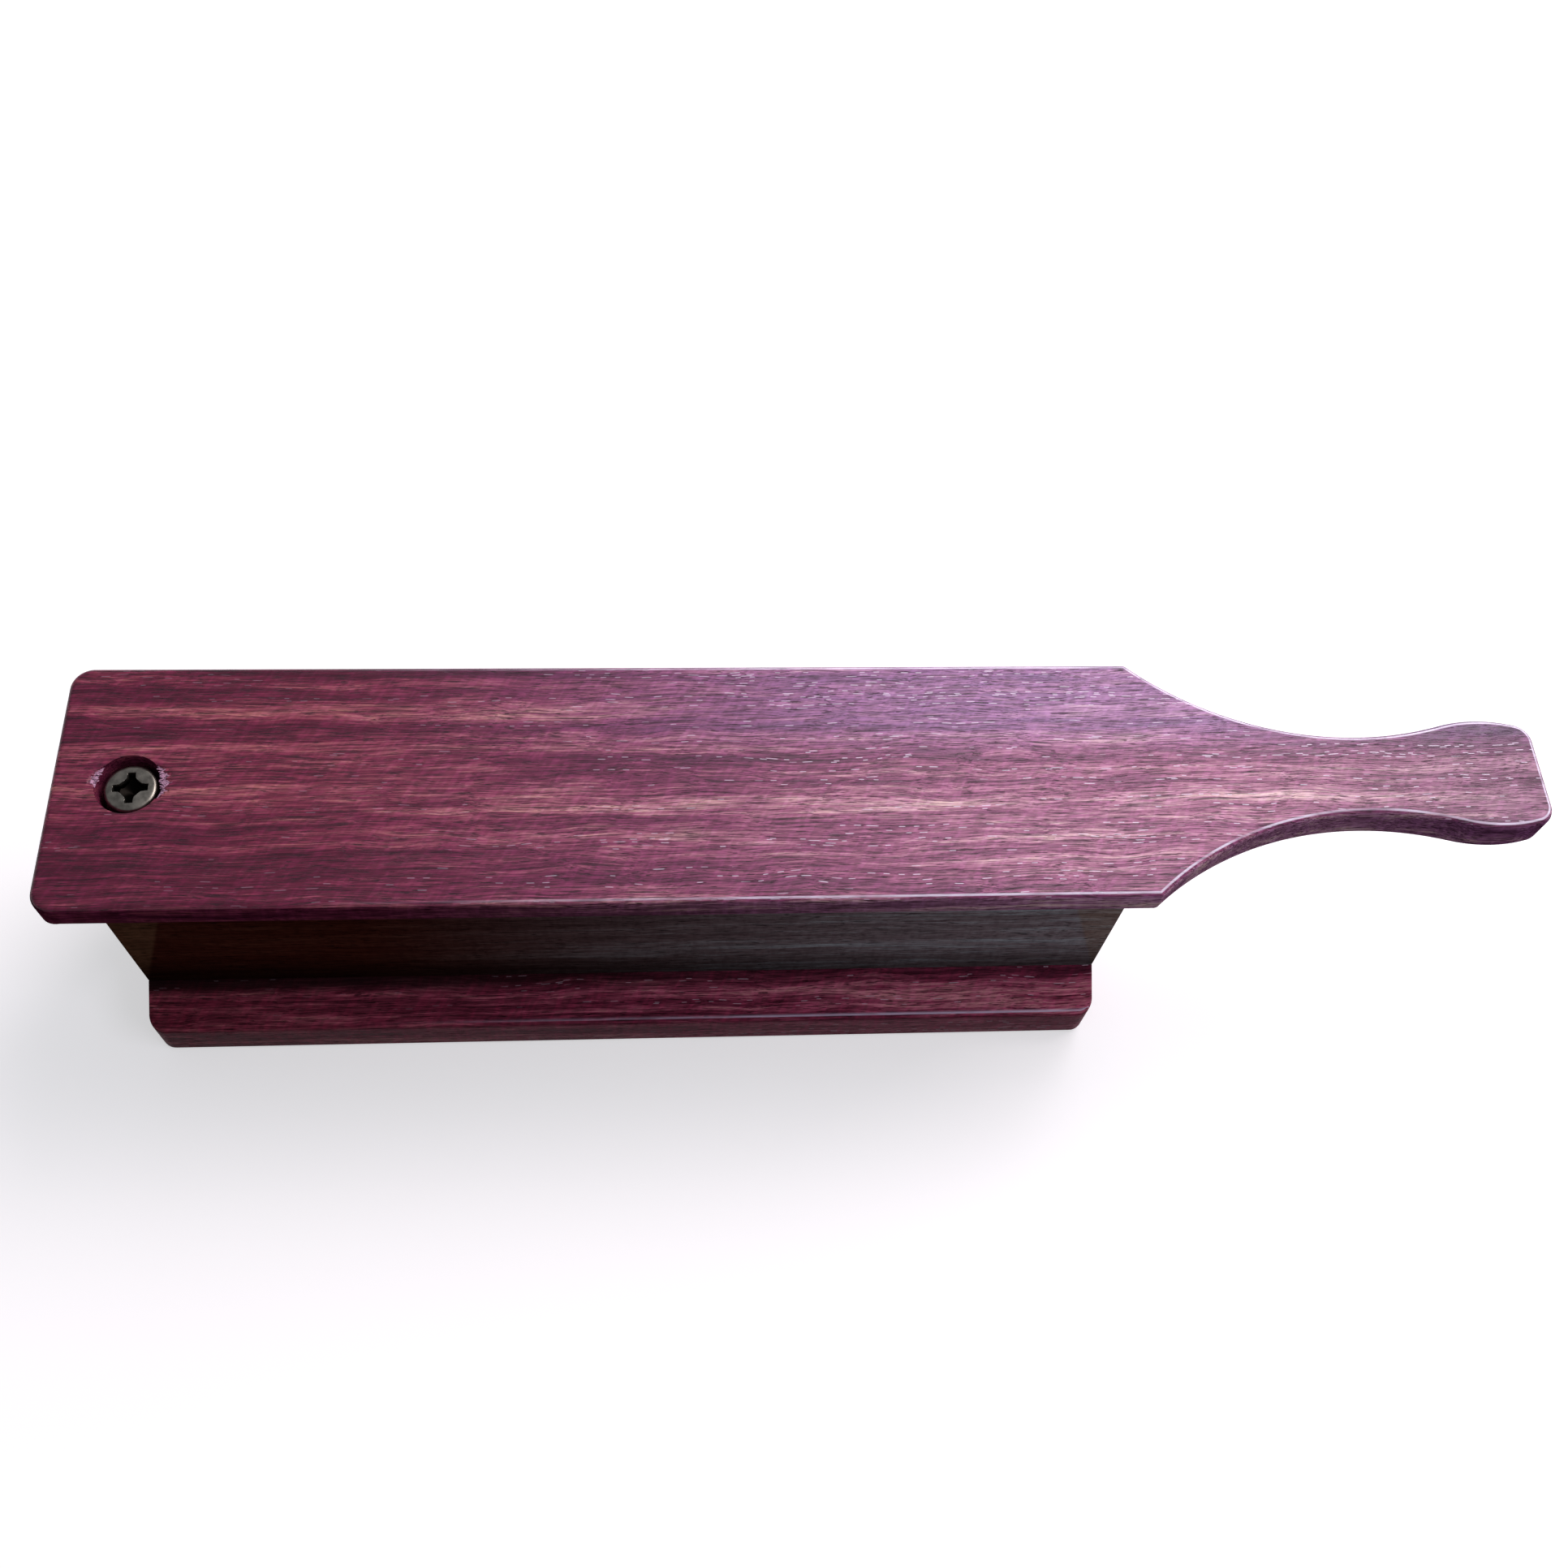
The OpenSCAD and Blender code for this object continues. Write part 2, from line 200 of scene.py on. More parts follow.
def swept_board(outline, top, bottom, top_round, bottom_round, across, hole=None):
    """Closed board. top and bottom are heights as functions of x and y; the roundings are quarter
    circles: depth = r (1 - sin a) with drop = r (1 - cos a) above, and the reverse below. across
    gives the y positions of the columns of a row from its half width. hole masks the cells, in the
    top and in the underside, that a round hole's own patch fills."""
    count = len(outline.points)
    top_round, bottom_round = (np.broadcast_to(r, count) for r in (top_round, bottom_round))
    quarter = np.linspace(0.0, np.pi / 2, 8)

    def profile(place, which=slice(None)):
        """Rows of points down the edge, for a function that gives x and y from the inset depth."""
        above, below = [], []
        for a in quarter:
            x, y = place(top_round * (1 - np.sin(a)))
            above.append(stack(x, y, top(x, y) - top_round[which] * (1 - np.cos(a))))
            x, y = place(bottom_round * (1 - np.cos(a)))
            below.append(stack(x, y, bottom(x, y) + bottom_round[which] * (1 - np.sin(a))))
        wall = [above[-1] + (below[0] - above[-1]) * share for share in (0.25, 0.5, 0.75)]
        return np.stack(above + wall + below)

    def side(sign):
        def place(depth):
            moved = outline.inset(depth)
            return moved[:, 0], sign * moved[:, 1]
        return profile(place)

    def end(row):
        """The same profile at one end: every row of it runs straight across the board."""
        def place(depth):
            moved = outline.inset(depth)[row]
            return moved[0], across(np.array([-moved[1]]))[0]
        return profile(place, row)

    def flat(depth, height):
        moved = outline.inset(depth)
        y = across(-moved[:, 1])
        x = np.broadcast_to(moved[:, :1], y.shape)
        return stack(x, y, height(x, y))

    return [grid(side(1)), grid(side(-1)), grid(end(0)), grid(end(-1)),
            grid(flat(top_round, top), hole), grid(flat(bottom_round, bottom), hole)]


def rectangle_loop(xs, ys):
    """Closed walk round a rectangle through the given x and y positions, as an array of points."""
    sides = [stack(xs, ys[0], 0.0)[:-1], stack(xs[-1], ys, 0.0)[:-1],
             stack(xs[::-1], ys[-1], 0.0)[:-1], stack(xs[0], ys[::-1], 0.0)]
    return np.concatenate(sides)[:, :2]


def hole_patch(loop, centre, radius, height, rings=14):
    """Sheet between a rectangle's loop and a round hole in it, and the unit vectors: each point
    goes straight from the circle out to the loop, and the rings lie closer near the circle."""
    out = loop - centre
    way = out / np.linalg.norm(out, axis=1, keepdims=True)
    circle = centre + radius * way
    share = (np.linspace(0.0, 1.0, rings + 1) ** 1.7)[:, None, None]
    flat = circle + (loop - circle) * share
    return grid(stack(flat[..., 0], flat[..., 1], height(flat[..., 0], flat[..., 1]))), way

# %% [markdown]
# The lid. On a real call it is cut from one board of purpleheart on a bandsaw and shaped on a
# router: straight sides, a shoulder, one long hollow arc for the neck and a full arc for the grip.
# Its underside is crowned across, because only two narrow lines of it scrape the lips. Here the
# outline is those same arcs, so it can be swept with its edges rounded. Behind the screw the
# underside slopes up, which lets the lid rock.

# %% Outline of the lid
lid_outline = HalfOutline()
hole_cells, hole_square = 40, 8.5
bore_x = screw_x - lid_x
square_x = np.linspace(bore_x - hole_square, bore_x + hole_square, hole_cells + 1)

neck_run, neck_fall = waist_x - shoulder_x, lid_half_width - waist_half
neck_radius = (neck_run ** 2 + neck_fall ** 2) / (2 * neck_fall)
neck_y = waist_half + neck_radius
bulb_run, bulb_rise = bulb_x - waist_x, bulb_half - waist_half
bulb_radius = (bulb_run ** 2 + bulb_rise ** 2) / (2 * bulb_rise) - neck_radius
bulb_y = bulb_half - bulb_radius
join_angle = np.degrees(np.arctan2(neck_y - bulb_y, bulb_run))
tip_x = lid_length - tip_corner
tip_y = bulb_y + np.sqrt((bulb_radius - tip_corner) ** 2 - (tip_x - bulb_x) ** 2)
tip_angle = np.degrees(np.arctan2(tip_y - bulb_y, tip_x - bulb_x))

shoulder_round = 1.2
shoulder_angle = np.degrees(np.arctan2(neck_y - lid_half_width, -neck_run))
turned = np.radians(shoulder_angle)
before, after = np.array([0.0, 1.0]), np.array([np.cos(turned), np.sin(turned)])
corner_mitre = (before + after) / (1 + before @ after)
shoulder = np.array([shoulder_x, -lid_half_width])
corner_run = shoulder_round * np.tan((turned - np.pi / 2) / 2)

lid_outline.arc((lid_corner, lid_corner - lid_half_width), lid_corner, 180, 270, 12)
straight_x = np.concatenate([
    [5.6], square_x, np.linspace(bore_x + hole_square, shoulder_x - corner_run, 100)[1:]])
lid_outline.add(np.stack([straight_x, np.full(len(straight_x), -lid_half_width)], axis=1), before)
lid_outline.arc(shoulder + shoulder_round * corner_mitre, -shoulder_round, 90, shoulder_angle, 6,
                hollow=True, soft=shoulder_round, mitre=tuple(corner_mitre))
neck_start = shoulder_angle - np.degrees(corner_run / neck_radius)
lid_outline.arc((waist_x, -neck_y), neck_radius, neck_start, join_angle, 56, hollow=True)
lid_outline.arc((bulb_x, -bulb_y), bulb_radius, 180 + join_angle, 360 - tip_angle, 24)
lid_outline.arc((tip_x, -tip_y), tip_corner, 360 - tip_angle, 360, 14)
lid_outline.close()
lid_outline.corner = (12 + len(straight_x), shoulder, corner_mitre)
print("lid outline:", len(lid_outline.points), "points, neck radius", round(neck_radius, 1), "mm")

# %% [markdown]
# The counterbore. It was drilled after the lid was finished, and the bit tore the fibres where it
# cut along the grain, on the two sides that face the ends of the lid. So the top dips and is
# ragged there, and a few pale splinters still stand in the tear.

# %% Heights of the lid
ragged = np.random.default_rng(11)
tear_y = np.linspace(-4.2, 4.2, 29)
# Length, middle and half width of the tear on the side of the lid's end, then of its handle
tear_reach = [length * ragged.uniform(0.25, 1.0, tear_y.size)
              * np.clip(1.25 - ((tear_y - middle) / half) ** 2, 0, 1)
              for length, middle, half in ((2.4, 1.7, 2.2), (3.3, 0.7, 4.0))]


def torn(x, y):
    """Share of tearing at a point of the lid's top: 1 at the rim, falling to 0 at a ragged distance
    along the grain."""
    chord = np.sqrt(np.maximum(bore_radius ** 2 - y ** 2, 0.0))
    reach = np.where(x < bore_x, *(np.interp(y, tear_y, one, 0, 0) for one in tear_reach))
    share = 1 - (np.abs(x - bore_x) - chord) / np.maximum(reach, 0.05)
    return np.clip(share, 0.0, 1.0) * (np.abs(y) < bore_radius)


def lid_top_height(x, y):
    """Flat, less up to 0.55 mm where the fibres are torn."""
    return lid_thickness - 0.55 * torn(x, y) ** 0.7


def lid_under_height(x, y):
    """Crown: R - sqrt(R^2 - y^2). Behind the crest: a plane that rises by 5 degrees."""
    crown = crown_radius - np.sqrt(crown_radius ** 2 - y ** 2)
    relief = (crest_x - lid_x - x) * np.tan(np.radians(5.0))
    return np.maximum(crown, relief)


# %% Lid
top_edge, under_edge = 1.4, 2.6
inner_share = hole_square / (lid_half_width - top_edge)
shares = np.concatenate([np.linspace(-1, -inner_share, 16),
                         np.linspace(-inner_share, inner_share, hole_cells + 1)[1:-1],
                         np.linspace(inner_share, 1, 16)])
outline_x = lid_outline.points[:, 0]
under_round = np.interp(outline_x, [0, lid_corner, shoulder_x, shoulder_x + 12],
                        [0.5, under_edge, under_edge, 2.3])

tiny = 1e-6
row_inside = ((outline_x[:-1] > bore_x - hole_square - tiny)
              & (outline_x[1:] < bore_x + hole_square + tiny)
              & (lid_outline.points[:-1, 1] < -lid_half_width + tiny))
column_inside = (shares[:-1] > -inner_share - tiny) & (shares[1:] < inner_share + tiny)
hole_mask = row_inside[:, None] & column_inside[None, :]

centre = np.array([bore_x, 0.0])
square_y = np.linspace(-hole_square, hole_square, hole_cells + 1)
narrow = (lid_half_width - under_edge) / (lid_half_width - top_edge)
rim_bevel = 0.2
top_patch, top_way = hole_patch(rectangle_loop(square_x, square_y), centre,
                                bore_radius + rim_bevel, lid_top_height, rings=24)
under_patch, under_way = hole_patch(rectangle_loop(square_x, square_y * narrow), centre,
                                    hole_radius, lid_under_height)

floor_z = lid_thickness - bore_depth
bore_rows = [(bore_radius + rim_bevel, None), (bore_radius, lid_thickness - rim_bevel - 0.6),
             (bore_radius, lid_thickness - 3.0), (bore_radius, floor_z + 0.3),
             (bore_radius - 0.3, floor_z), (hole_radius + 0.2, floor_z),
             (hole_radius, floor_z - 0.2), (hole_radius, 1.0), (hole_radius, None)]
bore_wall = []
for number, (radius, z) in enumerate(bore_rows):
    share = number / (len(bore_rows) - 1)
    way = top_way * (1 - share) + under_way * share
    ring = centre + radius * way / np.linalg.norm(way, axis=1, keepdims=True)
    if z is None:
        z = (lid_top_height if number == 0 else lid_under_height)(ring[:, 0], ring[:, 1])
    bore_wall.append(stack(ring[:, 0], ring[:, 1], z))

sheets = swept_board(lid_outline, lid_top_height, lid_under_height, top_edge, under_round,
                     lambda half: half[:, None] * shares, hole_mask)
sheets += [top_patch, under_patch, grid(np.stack(bore_wall))]
lid = piece("lid_paddle_wood", [(points + [lid_x, 0.0, lid_z], quads) for points, quads in sheets])

# %% Torn fibres as an attribute, so that the finish can follow them
spots = read(lid.data.vertices, "co") / MM
from_screw = np.hypot(spots[:, 0] - screw_x, spots[:, 1])
tearing = torn(spots[:, 0] - lid_x, spots[:, 1]) * (from_screw > bore_radius + 0.1)
# The tear ends between 1.0 and 2.2 mm below the top
write(lid, "torn", tearing * np.clip((spots[:, 2] - lid_top + 2.2) / 1.2, 0, 1))
print("torn points:", int((tearing > 0.2).sum()))


def mark_lean(made, turned_edge, flat=1.0):
    """Writes the attribute lean, the height of the normal: 1 on a top whose own normal has the
    height flat, less where it turns over a rounded upper edge. Off the edges named by turned_edge
    it is 1 as well."""
    upright = read(made.data.vertices, "normal")[:, 2]
    write(made, "lean", np.where(turned_edge, upright + 1.0 - flat, 1.0))


mark_lean(lid, from_screw > 12.0)

# %% Splinters in the torn rim
splinter_count = 46
splinter_rng = np.random.default_rng(5)


def drawn(low, high):
    """One random number for each splinter."""
    return splinter_rng.uniform(low, high, splinter_count)


side = np.where(np.arange(splinter_count) % 3 == 0, -1.0, 1.0)
across_rim = np.where(side < 0, drawn(-0.2, 3.5), drawn(-2.4, 3.8))
out = np.sqrt(bore_radius ** 2 - across_rim ** 2) + drawn(-0.1, 0.9)
start = np.stack([screw_x + side * out, across_rim, lid_top - drawn(0.16, 0.36)], axis=1)
length, turn = drawn(0.5, 1.4), drawn(-0.5, 0.5)
along = np.stack([np.cos(turn), np.sin(turn), drawn(-0.12, 0.12)], axis=1)
sideways = np.stack([-np.sin(turn), np.cos(turn), np.zeros(splinter_count)], axis=1)
upward = np.cross(along, sideways)
# Each splinter is a closed ring of six sections from a point through a wide middle to a point
stations = np.linspace(-0.5, 0.5, 6)
girth = 0.14 * np.sqrt(np.clip(1 - (2 * stations) ** 2, 0, 1))
around = np.linspace(0, 2 * np.pi, 7)
centre_line = (start[:, None, :]
               + stations[None, :, None] * length[:, None, None] * along[:, None, :])
swing = (np.cos(around)[:, None] * sideways[:, None, None, :]
         + 0.8 * np.sin(around)[:, None] * upward[:, None, None, :])
splinter_points = centre_line[:, :, None, :] + girth[None, :, None, None] * swing
splinters = piece("bore_rim_splinters", [grid(one) for one in splinter_points], 80.0)
write(splinters, "torn", np.ones(len(splinters.data.vertices)))

# %% [markdown]
# The base board. Its two ledges slope down from the side boards, and the corners and the edges are
# eased with sandpaper. It is swept like the lid, and the columns keep to the line where a ledge
# starts, so that line stays crisp.

# %% Base board
base_outline = HalfOutline()
straight_end = box_end - base_corner
base_outline.arc((-straight_end, base_corner - base_half_width), base_corner, 180, 270, 12)
run = np.linspace(-straight_end, straight_end, 90)[1:-1]
base_outline.add(np.stack([run, np.full(len(run), -base_half_width)], axis=1), (0.0, 1.0))
base_outline.arc((straight_end, base_corner - base_half_width), base_corner, 270, 360, 12)
base_outline.close()


def ledge_height(x, y):
    """Level between the side boards, then down at the ledge's slope."""
    return base_thickness - ledge_slope * np.maximum(np.abs(y) - box_half_width, 0.0)


def base_columns(half):
    """Columns at fixed places between the ledges' upper lines, then shares of the way out."""
    ledge = np.linspace(0, 1, 12)[1:]
    outer = box_half_width + (half[:, None] - box_half_width) * ledge
    inner = np.broadcast_to(np.linspace(-box_half_width, box_half_width, 24), (len(half), 24))
    return np.concatenate([-outer[:, ::-1], inner, outer], axis=1)


edge_ease = np.interp(np.abs(base_outline.points[:, 1]), [28.8, base_half_width], [0.3, 1.0])
base = piece("base_board_wood", swept_board(
    base_outline, ledge_height, lambda x, y: np.zeros_like(y), edge_ease, 1.8, base_columns))
from_middle = np.abs(read(base.data.vertices, "co")[:, 1]) / MM
mark_lean(base, from_middle > base_half_width - 1.4, np.cos(np.arctan(ledge_slope)))

# %% [markdown]
# The side boards. Their lips are the sounding edges: thinned by a bevel inside, and bowed very
# slightly so that the lid meets them at one place at a time. A board is two rails of points,
# outside and inside, carried along the box, and the top of each rail follows the bow, an arc
# through the ends and the middle.

# %% Side boards
bow_radius = (box_end ** 2 + lip_bow ** 2) / (2 * lip_bow)


def side_board(name, sign):
    """Height of the lip: board_height - R + sqrt(R^2 - x^2), with R the radius of the bow."""
    x = np.linspace(-box_end, box_end, 90)[:, None]
    lip = board_height - bow_radius + np.sqrt(bow_radius ** 2 - x ** 2)
    share = np.array([0, 0.2, 0.4, 0.6, 0.8, 1.0, 1.0])
    z = (board_height - lip_bevel) * share + np.zeros_like(x)
    z[:, -1:] = lip
    outer_y = np.full(z.shape, box_half_width)
    inner_y = np.full(z.shape, inner_half_width)
    inner_y[:, -1] = box_half_width - lip_thickness
    outer = stack(x, sign * outer_y, base_thickness + z)
    inner = stack(x, sign * inner_y, base_thickness + z)
    ring = np.concatenate([outer, inner[:, ::-1], outer[:, :1]], axis=1)
    ends = [grid(np.stack([outer[row], inner[row]])) for row in (0, -1)]
    return soften(piece(name, [grid(ring)] + ends), 0.35)


front_board = side_board("front_side_board_wood", -1)
rear_board = side_board("rear_side_board_wood", 1)

# %% [markdown]
# The end blocks close the sound chamber. One carries the screw, so it has a hole. Each is a pile
# of closed loops: the centre of the bottom, the outline up to the top, then the centre of the top,
# or the rim of the hole, the hole's foot and the centre of that.

# %% End blocks
def end_block(name, x_low, x_high, top, hole=None):
    """Block from loops. hole gives the place along X, the radius and the bottom of a round hole."""
    xs, ys = np.linspace(x_low, x_high, 17), np.linspace(-inner_half_width, inner_half_width, 33)
    loop = rectangle_loop(xs, ys)
    middle = np.array([(x_low + x_high) / 2 if hole is None else hole[0], 0.0])
    out = loop - middle
    way = out / np.linalg.norm(out, axis=1, keepdims=True)
    rows = [(middle + 0 * loop, base_thickness), (loop, base_thickness),
            (loop, base_thickness + 12), (loop, top - 8), (loop, top)]
    if hole is None:
        rows += [(middle + 0 * loop, top)]
    else:
        rows += [(middle + hole[1] * way, top), (middle + hole[1] * way, hole[2]),
                 (middle + 0 * loop, hole[2])]
    points = np.stack([stack(at[:, 0], at[:, 1], z) for at, z in rows])
    return soften(piece(name, [grid(points)]), 0.3)


pivot_block = end_block("pivot_end_block_wood", -box_end, pivot_block_face, lid_z - seat_gap,
                        (screw_x, pilot_radius, pilot_bottom))
handle_block = end_block("handle_end_block_wood", box_end - block_length, box_end,
                         base_thickness + handle_block_height)

# %% [markdown]
# The screw. A flat-headed steel screw with a rounded rim, driven with a cross driver. Its head is
# one fine grid squeezed from a square to a disc, x = u sqrt(1 - v^2 / 2), and the cross recess is
# a dip in that grid, whose depth grows with the distance inside the cross. The rim, the shank and
# the point are rings that go on from the edge of the disc.

# %% Screw
def cross_depth(x, y):
    """Depth of the recess: two bars and an opened square middle, joined by a soft maximum of their
    inside distances, with steep walls and a floor that falls towards the centre."""
    turn = np.radians(2.0)
    p = np.abs(x * np.cos(turn) + y * np.sin(turn))
    q = np.abs(y * np.cos(turn) - x * np.sin(turn))
    taper = 1.0 - 0.05 * np.maximum(p, q)
    bar = np.maximum(np.minimum(taper - q, 3.5 - p), np.minimum(taper - p, 3.5 - q))
    middle = (3.05 - p - q) / np.sqrt(2)
    blend = 9.0
    inside = np.log(np.exp(blend * bar) + np.exp(blend * middle)) / blend - 0.05
    share = np.clip(inside / 0.16, 0, 1)
    floor_depth = 1.5 + 1.5 * np.clip(1 - np.hypot(x, y) / 2.4, 0, 1)
    return floor_depth * share ** 1.2


cells = 150
flat_radius = head_radius - rim_round
head_top = lid_top - head_sink
u, v = np.meshgrid(np.linspace(-1, 1, cells), np.linspace(-1, 1, cells), indexing="ij")
disc_x = u * np.sqrt(1 - v ** 2 / 2) * flat_radius
disc_y = v * np.sqrt(1 - u ** 2 / 2) * flat_radius
fall = head_dome * (disc_x ** 2 + disc_y ** 2) / flat_radius ** 2
disc = stack(disc_x, disc_y, head_top - fall - cross_depth(disc_x, disc_y))

edge_walk = np.concatenate([disc[:-1, 0], disc[-1, :-1], disc[:0:-1, -1], disc[0, ::-1]])
way = edge_walk[:, :2] / np.linalg.norm(edge_walk[:, :2], axis=1, keepdims=True)
quarter = np.linspace(0, np.pi / 2, 9)
under_head = head_top - head_height
point_z = under_head - screw_length
screw_rows = [(flat_radius + rim_round * np.sin(a),
               head_top - head_dome - (rim_round - head_dome) * (1 - np.cos(a))) for a in quarter]
screw_rows += [(head_radius, under_head + head_ease), (head_radius - head_ease, under_head),
               (shank_radius + head_fillet, under_head), (shank_radius, under_head - head_fillet),
               (shank_radius, point_z + point_length), (0.2, point_z + 0.2), (0.0, point_z)]
rings = np.stack([stack(way[:, 0] * radius, way[:, 1] * radius, z) for radius, z in screw_rows])
screw = piece("pivot_screw_steel", [(points + [screw_x, 0.0, 0.0], quads)
                                    for points, quads in (grid(disc), grid(rings))], 50.0)
spots = read(screw.data.vertices, "co") / MM - [screw_x, 0.0, head_top]
in_recess = (np.hypot(spots[:, 0], spots[:, 1]) < flat_radius) & (spots[:, 2] > -3.5)
# Painted shade sets in 0.35 mm down in the recess and is full at 1.05 mm
write(screw, "recess_shade", np.clip(-(spots[:, 2] + 0.35) / 0.7, 0, 1) * in_recess)

# %% [markdown]
# The tension spring between the head and the floor of the counterbore. It is a round tube carried
# along a helix, x = R cos t, y = R sin t, z rising evenly, with both ends closed by a small dome.

# %% Spring
coil_low = lid_top - bore_depth + wire_radius + spring_gap
coil_rise = bore_depth - head_sink - head_height - 2 * (wire_radius + spring_gap)
t = np.linspace(0, 2 * np.pi * turns, 180)
line = np.stack([coil_radius * np.cos(t), coil_radius * np.sin(t), coil_rise * t / t[-1]], axis=1)
tangent = np.gradient(line, axis=0)
tangent /= np.linalg.norm(tangent, axis=1, keepdims=True)
outward = np.stack([np.cos(t), np.sin(t), np.zeros_like(t)], axis=1)
lift = np.cross(tangent, outward)
girth = np.ones_like(t)
dome_at = np.sin(np.linspace(0, np.pi / 2, 6))
girth[:6], girth[-6:] = dome_at, dome_at[::-1]
circle = np.linspace(0, 2 * np.pi, 17)[None, :, None]
tube = line[:, None] + wire_radius * girth[:, None, None] * (
    np.cos(circle) * outward[:, None] + np.sin(circle) * lift[:, None])
spring = piece("tension_spring_wire", [grid(tube + [screw_x, 0.0, coil_low])], 60.0)

# %% [markdown]
# Every piece rides on a body of the frame, and all but the splinters stand for a solid of it. The
# spring is pressed together as the lid rocks up, and it is given a mesh of its own.

# %% Bodies, slots and replaced solids
carried = [
    (lid, "lid", "lid_purpleheart", ["lid_paddle"]),
    (splinters, "lid", "lid_purpleheart", []),
    (base, "sound_box", "base_purpleheart", ["base_board"]),
    (front_board, "sound_box", "board_walnut", ["front_side_board"]),
    (rear_board, "sound_box", "board_walnut", ["rear_side_board"]),
    (pivot_block, "sound_box", "block_walnut", ["pivot_end_block"]),
    (handle_block, "sound_box", "block_walnut", ["handle_end_block"]),
    (screw, "sound_box", "screw_steel", ["pivot_screw"]),
    (spring, "spring", "spring_steel", ["tension_spring"]),
]
for made, body, slot, nodes in carried:
    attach(made, body)
    if nodes:
        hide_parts(*nodes)
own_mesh(spring)
print(len(carried), "pieces placed on their bodies")

# %% [markdown]
# Colours are written as they look on a screen, and one function turns them to the linear values
# that the shader works in. One small function adds a node, sets it and links it. A finish has it
# under the name add, with the finish's own node tree filled in.

# %% Colour and node helpers
def linear(text):
    """sRGB hex to linear: c / 12.92 below 0.04045, else ((c + 0.055) / 1.055) ^ 2.4."""
    c = np.array([int(text[i:i + 2], 16) for i in (1, 3, 5)]) / 255
    c = np.where(c <= 0.04045, c / 12.92, ((c + 0.055) / 1.055) ** 2.4)
    return (*c.tolist(), 1.0)


def add_node(tree, kind, links=(), out=0, **settings):
    """Adds a node, sets its properties, links or fills its sockets, and gives back one output.
    links lists the sockets in order, or names them."""
    made = tree.nodes.new("ShaderNode" + kind)
    for name, value in settings.items():
        setattr(made, name, value)
    for socket, value in links.items() if isinstance(links, dict) else enumerate(links):
        if isinstance(value, bpy.types.NodeSocket):
            tree.links.new(value, made.inputs[socket])
        else:
            made.inputs[socket].default_value = value
    return made.outputs[out] if made.outputs else None


def empty_tree(owner):
    """Empties the node tree of a material or a world, and gives back add_node for that tree."""
    owner.use_nodes = True
    owner.node_tree.nodes.clear()
    return partial(add_node, owner.node_tree)


def colour_steps(ramp, steps):
    """Gives a colour ramp its places and hex colours."""
    band = ramp.node.color_ramp
    while len(band.elements) < len(steps):
        band.elements.new(0.5)
    for element, (place, text) in zip(band.elements, steps):
        element.position, element.color = place, linear(text)
    return ramp


def dress(made, material):
    made.data.materials.clear()
    made.data.materials.append(material)


def dress_part(made, material, wanted):
    """Gives the faces whose normals are wanted a material of their own."""
    made.data.materials.append(material)
    chosen = wanted(read(made.data.polygons, "normal")).astype(np.int32)
    made.data.polygons.foreach_set("material_index", chosen * (len(made.data.materials) - 1))


# Settings that many nodes share: a x b, a x b + c, the size of a number, and a smooth step from 0
# at one value to 1 at another, unless the node is given two other ends
times, times_plus = {"operation": "MULTIPLY"}, {"operation": "MULTIPLY_ADD"}
distance, smooth = {"operation": "ABSOLUTE"}, {"interpolation_type": "SMOOTHSTEP"}

# %% [markdown]
# Oiled wood. Three things make a board read as this wood: slow streaks of darker and rosier timber
# some millimetres wide, jagged grain lines about half a millimetre apart, and open pores that show
# as short dark dashes along the grain. All are noises on the object's own coordinates, stretched
# along X, so they run through the solid as real grain does and turn to specks on the end grain. A
# thin satin finish lies over it.

